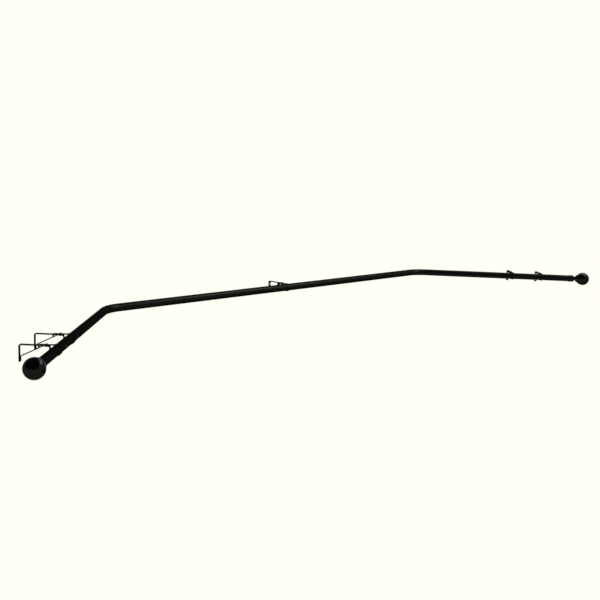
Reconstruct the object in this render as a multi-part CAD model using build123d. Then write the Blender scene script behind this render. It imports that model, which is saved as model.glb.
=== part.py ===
from build123d import *
from math import acos, atan2, cos, degrees, hypot, radians, sin
import os

# Bay window curtain pole in five wall brackets. Millimetres, +Z up, +Y towards the wall.
# The origin is on the wall, midway between the centre bracket's two screw holes.

# Pole: one round tube with a bend at each corner of the bay.
pole_d = 25.0
pole_wall = 1.2
bend_angle = 45.0
bend_radius = 100.0          # to the tube's centre line
middle_length = 1490.0       # between the corners where the straight runs would meet
side_length = 658.5          # from a corner to the tube's end

# Brackets: where they stand, and how far they hold the pole off the wall.
near_station = 406.5         # from a corner along the side run
far_station = 527.0
pole_offset = 91.0           # wall face to the pole's centre line
strip_width = 10.0
strip_thickness = 2.0

# Wall arm: the leg on the wall and the level arm, bent from one strip.
leg_drop = 31.7              # leg's lower end, below the pole's centre line
arm_rise = 10.8              # arm's middle, above the pole's centre line
arm_front = 15.0             # arm's front end, behind the pole's centre line
arm_bend_radius = 3.0
wall_hole_radius = 2.25
wall_hole_spacing = 25.0
lower_hole_height = 6.3      # lower wall hole, above the leg's lower end

# Brace: a foot on the leg and a sloping run, mitred against the arm's underside.
foot_height = 13.2           # from the leg's lower end to the brace's corner
brace_landing = 31.3         # middle of its mitred end, behind the pole's centre line
brace_bend_radius = 4.0

# Stay: a short upright of the strip between the arm and the brace.
stay_position = 42.8         # behind the pole's centre line

# Strap: wraps the pole, with one tail on the arm and one under it.
strap_thickness = 1.5
strap_clearance = 0.15       # all round the pole
strap_drop = 15.9            # its upright part's middle, behind the pole's centre line
strap_drop_turn = 45.0       # from under the pole to where the strap leaves it
strap_bend_radius = 2.4
upper_tail_end = 42.4        # its rear end, behind the pole's centre line
lower_tail_gap = 0.4         # between its rear end and the brace

# Clamp screw: countersunk in the lower tail, through the arm and tapped into the upper tail.
screw_position = 23.5        # behind the pole's centre line
screw_radius = 1.5
tapped_clearance = 0.05
screw_hole_clearance = 0.3
screw_stand = 3.6            # screw's end, above the strap's upper tail
screw_end_chamfer = 0.7
screw_head_radius = 3.0
screw_head_rim = 0.1
screw_slot_width = 0.8
screw_slot_depth = 0.6
countersink_clearance = 0.1

# End cap: a ferrule over the tube's end.
cap_clearance = 0.1
cap_wall = 0.9
cap_floor = 1.5
cap_grip = 16.5              # how far it reaches along the tube
cap_chamfer = 0.6

# End plug: pressed into the tube, with the finial's thread in it.
plug_length = 18.0
plug_clearance = 0.05
plug_chamfer = 0.8

# Finial: ball with a flared neck and a threaded stud, in one piece.
ball_d = 52.0
ball_reach = 40.0            # cap's outer face to the ball's centre
neck_radius = 7.0
neck_length = 4.0
stud_radius = 3.0
stud_length = 12.0           # inside the plug
stud_chamfer = 0.6
stud_clearance = 0.08
stud_cap_clearance = 0.3

# Levels worked out from the sizes above, in a bracket's own frame: its wall face is y = 0.
pole_z = leg_drop - lower_hole_height - wall_hole_spacing / 2
pole_y = -pole_offset
leg_bottom = pole_z - leg_drop
arm_z = pole_z + arm_rise
arm_under = arm_z - strip_thickness / 2
upper_tail_z = arm_z + (strip_thickness + strap_thickness) / 2
lower_tail_z = arm_z - (strip_thickness + strap_thickness) / 2
strap_top = upper_tail_z + strap_thickness / 2
strap_under = lower_tail_z - strap_thickness / 2
strap_radius = pole_d / 2 + strap_clearance + strap_thickness / 2
screw_y = pole_y + screw_position
tube_inner_radius = pole_d / 2 - pole_wall


def bent_strip(path, thickness):
    """A flat strip as wide as the stock, carried along a path drawn in the bracket's side view."""
    line = Plane.YZ * path
    section = Plane(origin=line @ 0, x_dir=(1, 0, 0), z_dir=line % 0) * Rectangle(strip_width, thickness)
    return sweep(section, path=line)


def screw_hole(level, clearance):
    """A hole for the clamp screw through one layer of the bracket, its middle at the given level."""
    return Pos(0, screw_y, level) * Cylinder(screw_radius + clearance, 2 * strip_thickness)


def wall_holes():
    """The two holes for wall screws: the lower one goes through the brace's foot too."""
    hole = Rot(90, 0, 0) * Cylinder(wall_hole_radius, 6 * strip_thickness)
    return [Pos(0, 0, side * wall_hole_spacing / 2) * hole for side in (-1, 1)]


def make_wall_arm():
    leg_y = -strip_thickness / 2
    path = FilletPolyline(
        (leg_y, leg_bottom),
        (leg_y, arm_z),
        (pole_y + arm_front, arm_z),
        radius=arm_bend_radius,
    )
    return bent_strip(path, strip_thickness) - wall_holes() - screw_hole(arm_z, screw_hole_clearance)


def brace_slope():
    """The sloping run's lower corner, its rise for each millimetre towards the pole, and its angle."""
    corner = (-1.5 * strip_thickness, leg_bottom + foot_height)
    landing = (pole_y + brace_landing, arm_under)
    rise = (landing[1] - corner[1]) / (corner[0] - landing[0])
    return corner, rise, atan2(rise, 1)


def make_brace():
    """The run is carried on past the arm's underside and cut off there."""
    corner, rise, slope = brace_slope()
    overrun = strip_thickness
    path = FilletPolyline(
        (corner[0], leg_bottom),
        corner,
        (pole_y + brace_landing - overrun, arm_under + overrun * rise),
        radius=brace_bend_radius,
    )
    above = Pos(0, pole_y / 2, arm_under + pole_d) * Box(2 * strip_width, 2 * pole_offset, 2 * pole_d)
    return bent_strip(path, strip_thickness) - above - wall_holes()


def make_stay():
    """Square to the arm above and cut to the slope of the brace below."""
    corner, rise, slope = brace_slope()
    lift = strip_thickness / 2 / cos(slope)
    middle = pole_y + stay_position
    back, front = middle + strip_thickness / 2, middle - strip_thickness / 2
    outline = Polyline(
        (back, arm_under),
        (front, arm_under),
        (front, corner[1] + rise * (corner[0] - front) + lift),
        (back, corner[1] + rise * (corner[0] - back) + lift),
        close=True,
    )
    return extrude(Plane.YZ * make_face(outline), amount=strip_width / 2, both=True)


def countersink(radius):
    """The right-angled cone of the clamp screw's head, its rim flush with the lower tail's underside."""
    return Pos(0, screw_y, strap_under) * Cone(radius, 0, radius, align=(Align.CENTER, Align.CENTER, Align.MIN))


def make_strap():
    """Upper tail, over the pole, down its front, back under it and up to the lower tail."""
    slope = brace_slope()[2]
    mitre = strip_thickness / 2 / sin(slope)
    upper_end = pole_y + upper_tail_end
    lower_end = pole_y + brace_landing - mitre - lower_tail_gap
    drop_y = pole_y + strap_drop
    reach_z = upper_tail_z - pole_z
    touch_on = atan2(reach_z, strap_drop) + acos(strap_radius / hypot(strap_drop, reach_z))
    leave = radians(270 + strap_drop_turn)
    on = (pole_y + strap_radius * cos(touch_on), pole_z + strap_radius * sin(touch_on))
    off = (pole_y + strap_radius * cos(leave), pole_z + strap_radius * sin(leave))
    corner_z = off[1] - (drop_y - off[0]) * cos(leave) / sin(leave)
    upper = FilletPolyline((upper_end, upper_tail_z), (drop_y, upper_tail_z), on, radius=strap_bend_radius)
    wrap = CenterArc((pole_y, pole_z), strap_radius, degrees(touch_on), degrees(leave - touch_on))
    lower = FilletPolyline(
        off,
        (drop_y, corner_z),
        (drop_y, lower_tail_z),
        (lower_end, lower_tail_z),
        radius=strap_bend_radius,
    )
    path = Wire(upper.edges() + wrap.edges() + lower.edges())
    holes = [
        screw_hole(upper_tail_z, tapped_clearance),
        screw_hole(lower_tail_z, screw_hole_clearance),
        countersink(screw_head_radius + countersink_clearance),
    ]
    return bent_strip(path, strap_thickness) - holes


def make_clamp_screw():
    """Countersunk head with a slot, and a plain shank for the thread, chamfered at its end."""
    length = strap_top + screw_stand - strap_under
    outline = Polyline(
        (0, 0),
        (screw_head_radius - screw_head_rim, 0),
        (screw_head_radius - screw_head_rim, screw_head_rim),
        (screw_radius, screw_head_radius - screw_radius),
        (screw_radius, length - screw_end_chamfer),
        (screw_radius - screw_end_chamfer, length),
        (0, length),
        close=True,
    )
    slot = Box(3 * screw_head_radius, screw_slot_width, 2 * screw_slot_depth)
    return Pos(0, screw_y, strap_under) * (revolve(Plane.XZ * make_face(outline), Axis.Z) - slot)


def make_pole():
    reach = cos(radians(bend_angle))
    fall = sin(radians(bend_angle))
    corner_x = middle_length / 2
    end_x = corner_x + side_length * reach
    end_y = pole_y - side_length * fall
    path = FilletPolyline(
        (-end_x, end_y, pole_z),
        (-corner_x, pole_y, pole_z),
        (corner_x, pole_y, pole_z),
        (end_x, end_y, pole_z),
        radius=bend_radius,
    )
    ring = Circle(pole_d / 2) - Circle(tube_inner_radius)
    return sweep(Plane(origin=path @ 0, z_dir=path % 0) * ring, path=path)


def make_end_plug():
    """In the end frame: the tube's end is z = 0 and +Z points out of it."""
    outline = Polyline(
        (stud_radius + stud_clearance, 0),
        (tube_inner_radius - plug_clearance, 0),
        (tube_inner_radius - plug_clearance, plug_chamfer - plug_length),
        (tube_inner_radius - plug_clearance - plug_chamfer, -plug_length),
        (stud_radius + stud_clearance, -plug_length),
        close=True,
    )
    return revolve(Plane.XZ * make_face(outline), Axis.Z)


def make_end_cap():
    bore = pole_d / 2 + cap_clearance
    outer = bore + cap_wall
    outline = Polyline(
        (stud_radius + stud_cap_clearance, 0),
        (bore, 0),
        (bore, -cap_grip),
        (outer, -cap_grip),
        (outer, cap_floor - cap_chamfer),
        (outer - cap_chamfer, cap_floor),
        (stud_radius + stud_cap_clearance, cap_floor),
        close=True,
    )
    return revolve(Plane.XZ * make_face(outline), Axis.Z)


def make_finial():
    """The neck's flare is the cone that touches the ball."""
    ball_radius = ball_d / 2
    centre = cap_floor + ball_reach
    flare_start = ball_reach - neck_length
    turn = atan2(neck_radius, flare_start) + acos(ball_radius / hypot(neck_radius, flare_start))
    ball = CenterArc((0, centre), ball_radius, degrees(turn) - 90, 180 - degrees(turn))
    rest = Polyline(
        (0, centre + ball_radius),
        (0, -stud_length),
        (stud_radius - stud_chamfer, -stud_length),
        (stud_radius, stud_chamfer - stud_length),
        (stud_radius, cap_floor),
        (neck_radius, cap_floor),
        (neck_radius, cap_floor + neck_length),
        (ball_radius * sin(turn), centre - ball_radius * cos(turn)),
    )
    return revolve(Plane.XZ * make_face(ball.edges() + rest.edges()), Axis.Z)


def on_side(side, along):
    """The bracket frame at a distance along a side run, turned so that its wall is behind it."""
    turn = radians(bend_angle)
    x = side * (middle_length / 2 + along * cos(turn) + pole_offset * sin(turn))
    y = pole_y - along * sin(turn) + pole_offset * cos(turn)
    return Location((x, y, 0), (0, 0, -side * bend_angle))


def end_frame(side):
    turn = radians(bend_angle)
    x = side * (middle_length / 2 + side_length * cos(turn))
    y = pole_y - side_length * sin(turn)
    return Plane(origin=(x, y, pole_z), x_dir=(0, 0, 1), z_dir=(side * cos(turn), -sin(turn), 0)).location


brackets = {
    "left_outer": on_side(-1, far_station),
    "left_inner": on_side(-1, near_station),
    "centre": Location((0, 0, 0)),
    "right_inner": on_side(1, near_station),
    "right_outer": on_side(1, far_station),
}
bracket_pieces = {
    "wall_arm": make_wall_arm(),
    "brace": make_brace(),
    "stay": make_stay(),
    "strap": make_strap(),
    "clamp_screw": make_clamp_screw(),
}
end_pieces = {
    "end_plug": make_end_plug(),
    "end_cap": make_end_cap(),
    "finial": make_finial(),
}

os.makedirs("parts", exist_ok=True)
export_step(make_pole(), "parts/pole.step")
for place, frame in brackets.items():
    for piece, shape in bracket_pieces.items():
        export_step(frame * shape, f"parts/{place}_{piece}.step")
for place, side in (("left", -1), ("right", 1)):
    for piece, shape in end_pieces.items():
        export_step(end_frame(side) * shape, f"parts/{place}_{piece}.step")
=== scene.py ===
from math import acos, atan2, cos, hypot, pi, radians, sin, tan

import bmesh
import bpy
import numpy as np
from mathutils import Matrix


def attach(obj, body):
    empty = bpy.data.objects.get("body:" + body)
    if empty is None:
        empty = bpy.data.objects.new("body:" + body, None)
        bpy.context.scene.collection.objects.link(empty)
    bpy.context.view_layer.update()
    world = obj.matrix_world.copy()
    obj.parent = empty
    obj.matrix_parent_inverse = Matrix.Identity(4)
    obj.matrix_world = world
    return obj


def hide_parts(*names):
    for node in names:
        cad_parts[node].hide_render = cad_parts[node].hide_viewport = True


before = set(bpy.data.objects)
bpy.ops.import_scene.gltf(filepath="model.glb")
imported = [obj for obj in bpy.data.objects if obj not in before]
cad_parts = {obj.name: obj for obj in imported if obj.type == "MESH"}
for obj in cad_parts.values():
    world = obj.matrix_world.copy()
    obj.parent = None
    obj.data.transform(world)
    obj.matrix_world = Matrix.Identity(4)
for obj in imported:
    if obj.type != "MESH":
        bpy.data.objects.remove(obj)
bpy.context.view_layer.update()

# The object's own sizes, in metres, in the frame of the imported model.
POLE_RADIUS = 0.0125
POLE_WALL = 0.0012
BEND_ANGLE = radians(45)
BEND_RADIUS = 0.1
CORNER_X = 0.745
SIDE_LENGTH = 0.6585
POLE_OFFSET = 0.091
POLE_HEIGHT = 0.0129

SIDES = {"left": -1, "right": 1}
BRACKETS = ("left_outer", "left_inner", "centre", "right_inner", "right_outer")

# How finely the new pieces are drawn.
TUBE_STEPS = 96
BALL_STEPS = 128
RUN_STEPS = 60


# Meshes

def smooth_mesh(name, points, around_first, around_second):
    """A grid of points as a mesh of quads: rows run along the first parameter, columns along the second,
    and either one may close on itself. Points that coincide, as at a pole, are merged."""
    rows, columns = points.shape[:2]
    number = np.arange(rows * columns).reshape(rows, columns)
    if around_first:
        number = np.vstack([number, number[:1]])
    if around_second:
        number = np.hstack([number, number[:, :1]])
    quads = np.stack([number[:-1, :-1], number[1:, :-1], number[1:, 1:], number[:-1, 1:]], axis=-1)
    mesh = bpy.data.meshes.new(name)
    mesh.from_pydata(points.reshape(-1, 3), [], quads.reshape(-1, 4))
    work = bmesh.new()
    work.from_mesh(mesh)
    bmesh.ops.remove_doubles(work, verts=work.verts, dist=1e-7)
    bmesh.ops.recalc_face_normals(work, faces=work.faces)
    work.to_mesh(mesh)
    work.free()
    mesh.shade_smooth()
    return mesh


def add_piece(name, mesh, body, node, finish):
    """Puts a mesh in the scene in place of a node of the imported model."""
    piece = bpy.data.objects.new(name, mesh)
    bpy.context.scene.collection.objects.link(piece)
    mesh.materials.clear()
    mesh.materials.append(finish)
    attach(piece, body)
    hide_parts(node)
    return piece


def rounded(corners, radii, steps=4):
    """A closed outline with each corner turned into an arc: the arc's centre lies on the corner's bisector,
    and a point half the radius before and after it keeps the flat stretches flat."""
    corners = np.array(corners, float)
    radii = np.broadcast_to(np.array(radii, float), len(corners))
    before = np.roll(corners, 1, axis=0) - corners
    after = np.roll(corners, -1, axis=0) - corners
    before /= np.linalg.norm(before, axis=1, keepdims=True)
    after /= np.linalg.norm(after, axis=1, keepdims=True)
    half = np.arccos(np.clip((before * after).sum(1), -1, 1)) / 2
    reach = radii / np.tan(half)
    middle = before + after
    middle /= np.linalg.norm(middle, axis=1, keepdims=True)
    centre = corners + middle * (radii / np.sin(half))[:, None]
    start = corners + before * reach[:, None] - centre
    end = corners + after * reach[:, None] - centre
    share = np.linspace(0, 1, steps + 1)[:, None, None]
    sweep = pi - 2 * half
    sweep = sweep[:, None]
    mix = (np.sin((1 - share) * sweep) * start + np.sin(share * sweep) * end) / np.sin(sweep)
    hold = radii[:, None] * 0.5
    rows = [centre + start + before * hold, *(centre + mix), centre + end + after * hold]
    return np.stack(rows, axis=1).reshape(-1, 2)


def revolved(name, outline, origin, axis, steps, closed):
    """Turns an outline about an axis: a point (r, h) of it goes to origin + h * axis
    + r * (cos(t) * across + sin(t) * up). A closed outline joins its end to its start."""
    up = np.array([0.0, 0.0, 1.0])
    across = np.cross(up, axis)
    turn = np.linspace(0, 2 * pi, steps, endpoint=False)[None, :, None]
    ring = np.cos(turn) * across + np.sin(turn) * up
    points = origin + outline[:, 1, None, None] * axis + outline[:, 0, None, None] * ring
    return smooth_mesh(name, points, closed, True)


# Pole: the tube's middle line and its two walls

BEND_STEP = radians(1.5)
POLE_RIM = 0.0002


def pole_line():
    """Two straight side runs, two arcs and the middle run, from the left end to the right: points, and the
    level direction square to the line at each, pointing away from the room."""
    tangent = BEND_RADIUS * tan(BEND_ANGLE / 2)
    start = CORNER_X - tangent
    turn = np.linspace(0, BEND_ANGLE, int(BEND_ANGLE / BEND_STEP) + 2)
    arc_x = start + BEND_RADIUS * np.sin(turn)
    arc_y = -BEND_RADIUS * (1 - np.cos(turn))
    run = np.linspace(0, SIDE_LENGTH - tangent, RUN_STEPS)[1:]
    side_x = arc_x[-1] + run * cos(BEND_ANGLE)
    side_y = arc_y[-1] - run * sin(BEND_ANGLE)
    middle = np.linspace(0, start, RUN_STEPS)[:-1]
    x = np.concatenate([middle, arc_x, side_x])
    y = np.concatenate([np.zeros_like(middle), arc_y, side_y])
    angle = np.concatenate([np.zeros_like(middle), turn, np.full_like(run, BEND_ANGLE)])
    x = np.concatenate([-x[:0:-1], x])
    y = np.concatenate([y[:0:-1], y])
    angle = np.concatenate([-angle[:0:-1], angle])
    line = np.stack([x, y - POLE_OFFSET, np.full_like(x, POLE_HEIGHT)], axis=1)
    outward = np.stack([np.sin(angle), np.cos(angle), np.zeros_like(angle)], axis=1)
    return line, outward


def make_pole(finish):
    """The tube's outer wall from the left end to the right and its inner wall back, closed over both rims:
    each ring of points is the line's point + r * (cos(t) * outward + sin(t) * up)."""
    line, outward = pole_line()
    inner = POLE_RADIUS - POLE_WALL
    along = np.concatenate([np.arange(len(line)), np.arange(len(line))[::-1]])
    radius = np.where(np.arange(len(along)) < len(line), POLE_RADIUS, inner)
    radius[[0, len(line) - 1]] -= POLE_RIM
    radius[[len(line), -1]] += POLE_RIM
    turn = np.linspace(0, 2 * pi, TUBE_STEPS, endpoint=False)[None, :, None]
    ring = np.cos(turn) * outward[along][:, None] + np.sin(turn) * np.array([0.0, 0.0, 1.0])
    points = line[along][:, None] + radius[:, None, None] * ring
    mesh = smooth_mesh("pole_tube", points, True, True)
    return add_piece("pole_tube", mesh, "fixed_pole", "pole", finish)


# Ends: cap and finial on the tube's axis

CAP_BORE = 0.0126
CAP_RADIUS = 0.0135
CAP_FLOOR = 0.0015
CAP_GRIP = 0.0165
CAP_HOLE_RADIUS = 0.0033
CAP_ROUNDS = (0.0001, 0.0001, 0.00015, 0.0003, 0.0006, 0.0001)
STUD_RADIUS = 0.003
STUD_CHAMFER = 0.0006
STUD_ROOT = 0.0002
BALL_RADIUS = 0.026
BALL_REACH = 0.04
NECK_RADIUS = 0.007
NECK_LENGTH = 0.004
NECK_ROUND = 0.0004
STUD_LENGTH = 0.012


def end_frame(side):
    origin = np.array([
        side * (CORNER_X + SIDE_LENGTH * cos(BEND_ANGLE)),
        -POLE_OFFSET - SIDE_LENGTH * sin(BEND_ANGLE),
        POLE_HEIGHT,
    ])
    return origin, np.array([side * cos(BEND_ANGLE), -sin(BEND_ANGLE), 0.0])


def make_cap(place, side, finish):
    """The ferrule's section with its corners rounded, turned about the tube's axis."""
    corners = [
        (CAP_HOLE_RADIUS, 0),
        (CAP_BORE, 0),
        (CAP_BORE, -CAP_GRIP),
        (CAP_RADIUS, -CAP_GRIP),
        (CAP_RADIUS, CAP_FLOOR),
        (CAP_HOLE_RADIUS, CAP_FLOOR),
    ]
    mesh = revolved(f"{place}_cap", rounded(corners, CAP_ROUNDS), *end_frame(side), TUBE_STEPS, True)
    return add_piece(f"{place}_cap", mesh, f"{place}_end_cap", f"{place}_end_cap", finish)


def finial_outline():
    """Stud, neck, the cone that touches the ball, and the ball's arc to its tip, closed along the axis."""
    centre = CAP_FLOOR + BALL_REACH
    flare = BALL_REACH - NECK_LENGTH
    touch = atan2(NECK_RADIUS, flare) + acos(BALL_RADIUS / hypot(NECK_RADIUS, flare))
    turn = np.linspace(touch, pi, 60)
    ball = np.stack([BALL_RADIUS * np.sin(turn), centre - BALL_RADIUS * np.cos(turn)], axis=1)
    share = np.linspace(0, 1, 12)[1:-1, None]
    neck_top = np.array([NECK_RADIUS, CAP_FLOOR + NECK_LENGTH])
    cone = neck_top + share * (ball[0] - neck_top)
    stem = [
        (0, -STUD_LENGTH),
        (STUD_RADIUS - STUD_CHAMFER, -STUD_LENGTH),
        (STUD_RADIUS, STUD_CHAMFER - STUD_LENGTH),
        (STUD_RADIUS, -STUD_ROOT),
        (STUD_RADIUS, CAP_FLOOR),
        (NECK_RADIUS - NECK_ROUND, CAP_FLOOR),
        (NECK_RADIUS, CAP_FLOOR + NECK_ROUND),
        (NECK_RADIUS, CAP_FLOOR + NECK_LENGTH),
    ]
    return np.concatenate([stem, cone, ball])


def make_finial(place, side, finish):
    """Stud, neck and ball, turned about the tube's axis."""
    mesh = revolved(f"{place}_ball", finial_outline(), *end_frame(side), BALL_STEPS, False)
    return add_piece(f"{place}_ball", mesh, f"{place}_finial", f"{place}_finial", finish)


# Brackets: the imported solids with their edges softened

def soften(node, body, finish, width, flat=True):
    """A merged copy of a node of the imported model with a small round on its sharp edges. The shading of
    its faces stays flat up to the rounds, or runs on round the curve of a strap."""
    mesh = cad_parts[node].data.copy()
    work = bmesh.new()
    work.from_mesh(mesh)
    bmesh.ops.remove_doubles(work, verts=work.verts, dist=1e-6)
    bmesh.ops.dissolve_limit(work, angle_limit=radians(1), verts=work.verts, edges=work.edges)
    work.to_mesh(mesh)
    work.free()
    mesh.shade_smooth()
    piece = add_piece(f"{node}_piece", mesh, body, node, finish)
    bevel = piece.modifiers.new("edge_round", "BEVEL")
    bevel.width = width
    bevel.segments = 3
    bevel.limit_method = "ANGLE"
    bevel.angle_limit = radians(35)
    bevel.harden_normals = flat
    return piece


def make_brackets(finish):
    for place in BRACKETS:
        for part in ("wall_arm", "brace", "stay"):
            soften(f"{place}_{part}", "fixed_pole", finish, 0.0003)
        soften(f"{place}_strap", "fixed_pole", finish, 0.0002, flat=False)
        soften(f"{place}_clamp_screw", f"{place}_clamp_screw", finish, 0.0001)


# Finishes

class Number:
    """A number in a finish's nodes, so that shader maths is written as an expression."""

    def __init__(self, finish, socket):
        self.finish = finish
        self.socket = socket

    def math(self, operation, first, second):
        return self.finish.add("ShaderNodeMath", {"operation": operation}, {0: first, 1: second})

    def __add__(self, other):
        return self.math("ADD", self, other)

    def __radd__(self, other):
        return self.math("ADD", other, self)

    def __sub__(self, other):
        return self.math("SUBTRACT", self, other)

    def __rsub__(self, other):
        return self.math("SUBTRACT", other, self)

    def __mul__(self, other):
        return self.math("MULTIPLY", self, other)

    def __rmul__(self, other):
        return self.math("MULTIPLY", other, self)

    def most(self, other):
        return self.math("MAXIMUM", self, other)


class Shader:
    """A tree of shading nodes."""

    def __init__(self, tree):
        self.nodes = tree.nodes
        self.links = tree.links

    def put(self, node, place, value):
        if isinstance(value, Number):
            self.links.new(value.socket, node.inputs[place])
        else:
            node.inputs[place].default_value = value

    def add(self, kind, settings, inputs, output=0):
        node = self.nodes.new(kind)
        for setting, value in settings.items():
            setattr(node, setting, value)
        for place, value in inputs.items():
            self.put(node, place, value)
        return Number(self, node.outputs[output])

    def noise(self, size, detail=2.0):
        place = self.add("ShaderNodeTexCoord", {}, {}, "Object")
        return self.add("ShaderNodeTexNoise", {}, {"Vector": place, "Scale": 1 / size, "Detail": detail})

    def colour_between(self, share, first, second):
        settings = {"data_type": "RGBA"}
        return self.add("ShaderNodeMix", settings, {0: share, 6: first, 7: second}, 2)

    def bump(self, height, distance):
        return self.add("ShaderNodeBump", {}, {"Height": height, "Distance": distance, "Strength": 1.0})

    def shown(self):
        """1 for the rays that bring a colour to the eye: straight, mirrored or through glass."""
        rays = ("Is Camera Ray", "Is Glossy Ray", "Is Transmission Ray")
        eye, mirror, glass = [self.add("ShaderNodeLightPath", {}, {}, ray) for ray in rays]
        return eye.most(mirror).most(glass)


class Finish(Shader):
    """A material and its nodes."""

    def __init__(self, name):
        self.material = bpy.data.materials.new(name)
        self.material.use_nodes = True
        super().__init__(self.material.node_tree)
        self.surface = self.nodes["Principled BSDF"]


def black_paint(name, pale, dark, metal, edge, roughness, grain):
    """Baked black paint: a fine pebbled skin, with its gloss and its depth of black drifting a little.
    The metallic share sets how much of its sheen is a reflection, and the edge tint how strong that
    reflection stays at a grazing angle."""
    finish = Finish(name)
    drift = finish.noise(0.09)
    cloud = finish.noise(0.012, 4.0)
    skin = finish.noise(grain, 3.0)
    finish.put(finish.surface, "Base Color", finish.colour_between(drift, dark, pale))
    finish.put(finish.surface, "Roughness", roughness + 0.06 * (drift - 0.5) + 0.08 * (cloud - 0.5))
    finish.put(finish.surface, "Normal", finish.bump(skin + 0.5 * cloud, 0.00002))
    finish.surface.inputs["Metallic"].default_value = metal
    finish.surface.inputs["Specular IOR Level"].default_value = 0.0
    finish.surface.inputs["Specular Tint"].default_value = (edge, edge, edge, 1)
    return finish.material


def turned_steel(name):
    finish = Finish(name)
    drift = finish.noise(0.004, 3.0)
    colour = finish.colour_between(drift, (0.42, 0.42, 0.43, 1), (0.6, 0.6, 0.61, 1))
    finish.put(finish.surface, "Base Color", colour)
    finish.put(finish.surface, "Roughness", 0.3 + 0.2 * drift)
    finish.surface.inputs["Metallic"].default_value = 1.0
    return finish.material


# Studio

IVORY = (1.0, 1.0, 0.92, 1.0)
CAMERA_PLACE = (-2.14346, -2.32181, 0.53293)
CAMERA_HEADING = radians(-44.793)
CAMERA_PITCH = radians(-10.339)
CAMERA_ROLL = radians(2.378)
CAMERA_LENS = 52.316
FLOOR_HEIGHT = -2.1
FLOOR_REACH = 60.0
WORLD_LIGHT = 0.12
OVERHEAD_FLAG = ((-40, -40), (1.1, -40), (1.1, 1), (-40, 25))
LOW_FLAG = ((1, -4.2), (9, -4.2), (9, 4), (1, 4))


def add_camera():
    data = bpy.data.cameras.new("camera")
    data.lens = CAMERA_LENS
    data.sensor_width = 36
    data.clip_end = 200
    camera = bpy.data.objects.new("camera", data)
    heading = Matrix.Rotation(CAMERA_HEADING, 4, "Z")
    pitch = Matrix.Rotation(pi / 2 + CAMERA_PITCH, 4, "X")
    roll = Matrix.Rotation(CAMERA_ROLL, 4, "Z")
    camera.matrix_world = Matrix.Translation(CAMERA_PLACE) @ heading @ pitch @ roll
    bpy.context.scene.collection.objects.link(camera)
    bpy.context.scene.camera = camera


def add_softbox(name, place, size, power):
    """A rectangular lamp that faces straight down."""
    data = bpy.data.lights.new(name, "AREA")
    data.shape = "RECTANGLE"
    data.size, data.size_y = size
    data.energy = power
    lamp = bpy.data.objects.new(name, data)
    lamp.location = place
    bpy.context.scene.collection.objects.link(lamp)


def add_sheet(name, corners, height, finish):
    """A level sheet of the studio."""
    mesh = bpy.data.meshes.new(name)
    mesh.from_pydata([(x, y, 0) for x, y in corners], [], [(0, 1, 2, 3)])
    mesh.materials.append(finish.material)
    sheet = bpy.data.objects.new(name, mesh)
    sheet.location.z = height
    bpy.context.scene.collection.objects.link(sheet)
    return sheet


def add_flag(name, corners, height, level):
    """A studio flag: it darkens part of the paint's reflections, and nothing but those reflections
    sees it."""
    finish = Finish(f"{name}_cloth")
    dark = finish.add("ShaderNodeEmission", {}, {"Color": (level, level, level, 1)})
    finish.put(finish.nodes["Material Output"], "Surface", dark)
    flag = add_sheet(name, corners, height, finish)
    flag.visible_camera = False
    flag.visible_diffuse = False
    flag.visible_shadow = False
    flag.visible_transmission = False


def add_world(light):
    """Ivory to the eye and in reflections, and a plain level of light on the surfaces."""
    world = bpy.data.worlds.new("studio")
    world.use_nodes = True
    bpy.context.scene.world = world
    shader = Shader(world.node_tree)
    pale = shader.nodes["Background"]
    shader.put(pale, "Color", IVORY)
    lit = shader.add("ShaderNodeBackground", {}, {"Color": (light, light, light, 1)})
    pale = Number(shader, pale.outputs["Background"])
    mix = shader.add("ShaderNodeMixShader", {}, {0: shader.shown(), 1: lit, 2: pale})
    shader.put(shader.nodes["World Output"], "Surface", mix)


def add_floor():
    """Ivory to the eye and in reflections. Near the object a quarter of it is matt and takes a shadow."""
    finish = Finish("floor_paint")
    place = finish.add("ShaderNodeTexCoord", {}, {}, "Object")
    distance = finish.add("ShaderNodeVectorMath", {"operation": "LENGTH"}, {0: place}, "Value")
    near = finish.add("ShaderNodeMapRange", {}, {"Value": distance, "From Min": 1.4, "From Max": 0.6})
    matt = finish.add("ShaderNodeBsdfDiffuse", {}, {"Color": (0.96, 0.96, 0.92, 1)})
    pale = finish.add("ShaderNodeEmission", {}, {"Color": IVORY})
    share = finish.shown() * (1 - 0.25 * near)
    mix = finish.add("ShaderNodeMixShader", {}, {0: share, 1: matt, 2: pale})
    finish.put(finish.nodes["Material Output"], "Surface", mix)
    corners = [(x * FLOOR_REACH, y * FLOOR_REACH) for x, y in ((-1, -1), (1, -1), (1, 1), (-1, 1))]
    add_sheet("floor", corners, FLOOR_HEIGHT, finish)


bpy.context.scene.view_settings.view_transform = "Standard"
satin = black_paint(
    "satin_black",
    pale=(0.012, 0.0124, 0.0104, 1),
    dark=(0.01, 0.0103, 0.0086, 1),
    metal=0.55,
    edge=0.15,
    roughness=0.3,
    grain=0.0012,
)
gloss = black_paint(
    "gloss_black",
    pale=(0.0115, 0.0115, 0.0115, 1),
    dark=(0.0085, 0.0085, 0.0085, 1),
    metal=1.0,
    edge=0.5,
    roughness=0.2,
    grain=0.0012,
)
plug_steel = turned_steel("plug_steel")
make_pole(satin)
for place, side in SIDES.items():
    make_cap(place, side, satin)
    make_finial(place, side, gloss)
    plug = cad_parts[f"{place}_end_plug"]
    plug.data.materials.clear()
    plug.data.materials.append(plug_steel)
make_brackets(satin)

add_camera()
add_world(WORLD_LIGHT)
add_floor()
add_softbox("overhead_softbox", place=(3.1, -0.3, 3.0), size=(2.6, 4.6), power=400)
add_flag("overhead_flag", OVERHEAD_FLAG, height=3.05, level=0.1)
add_flag("low_flag", LOW_FLAG, height=-1.5, level=0.25)
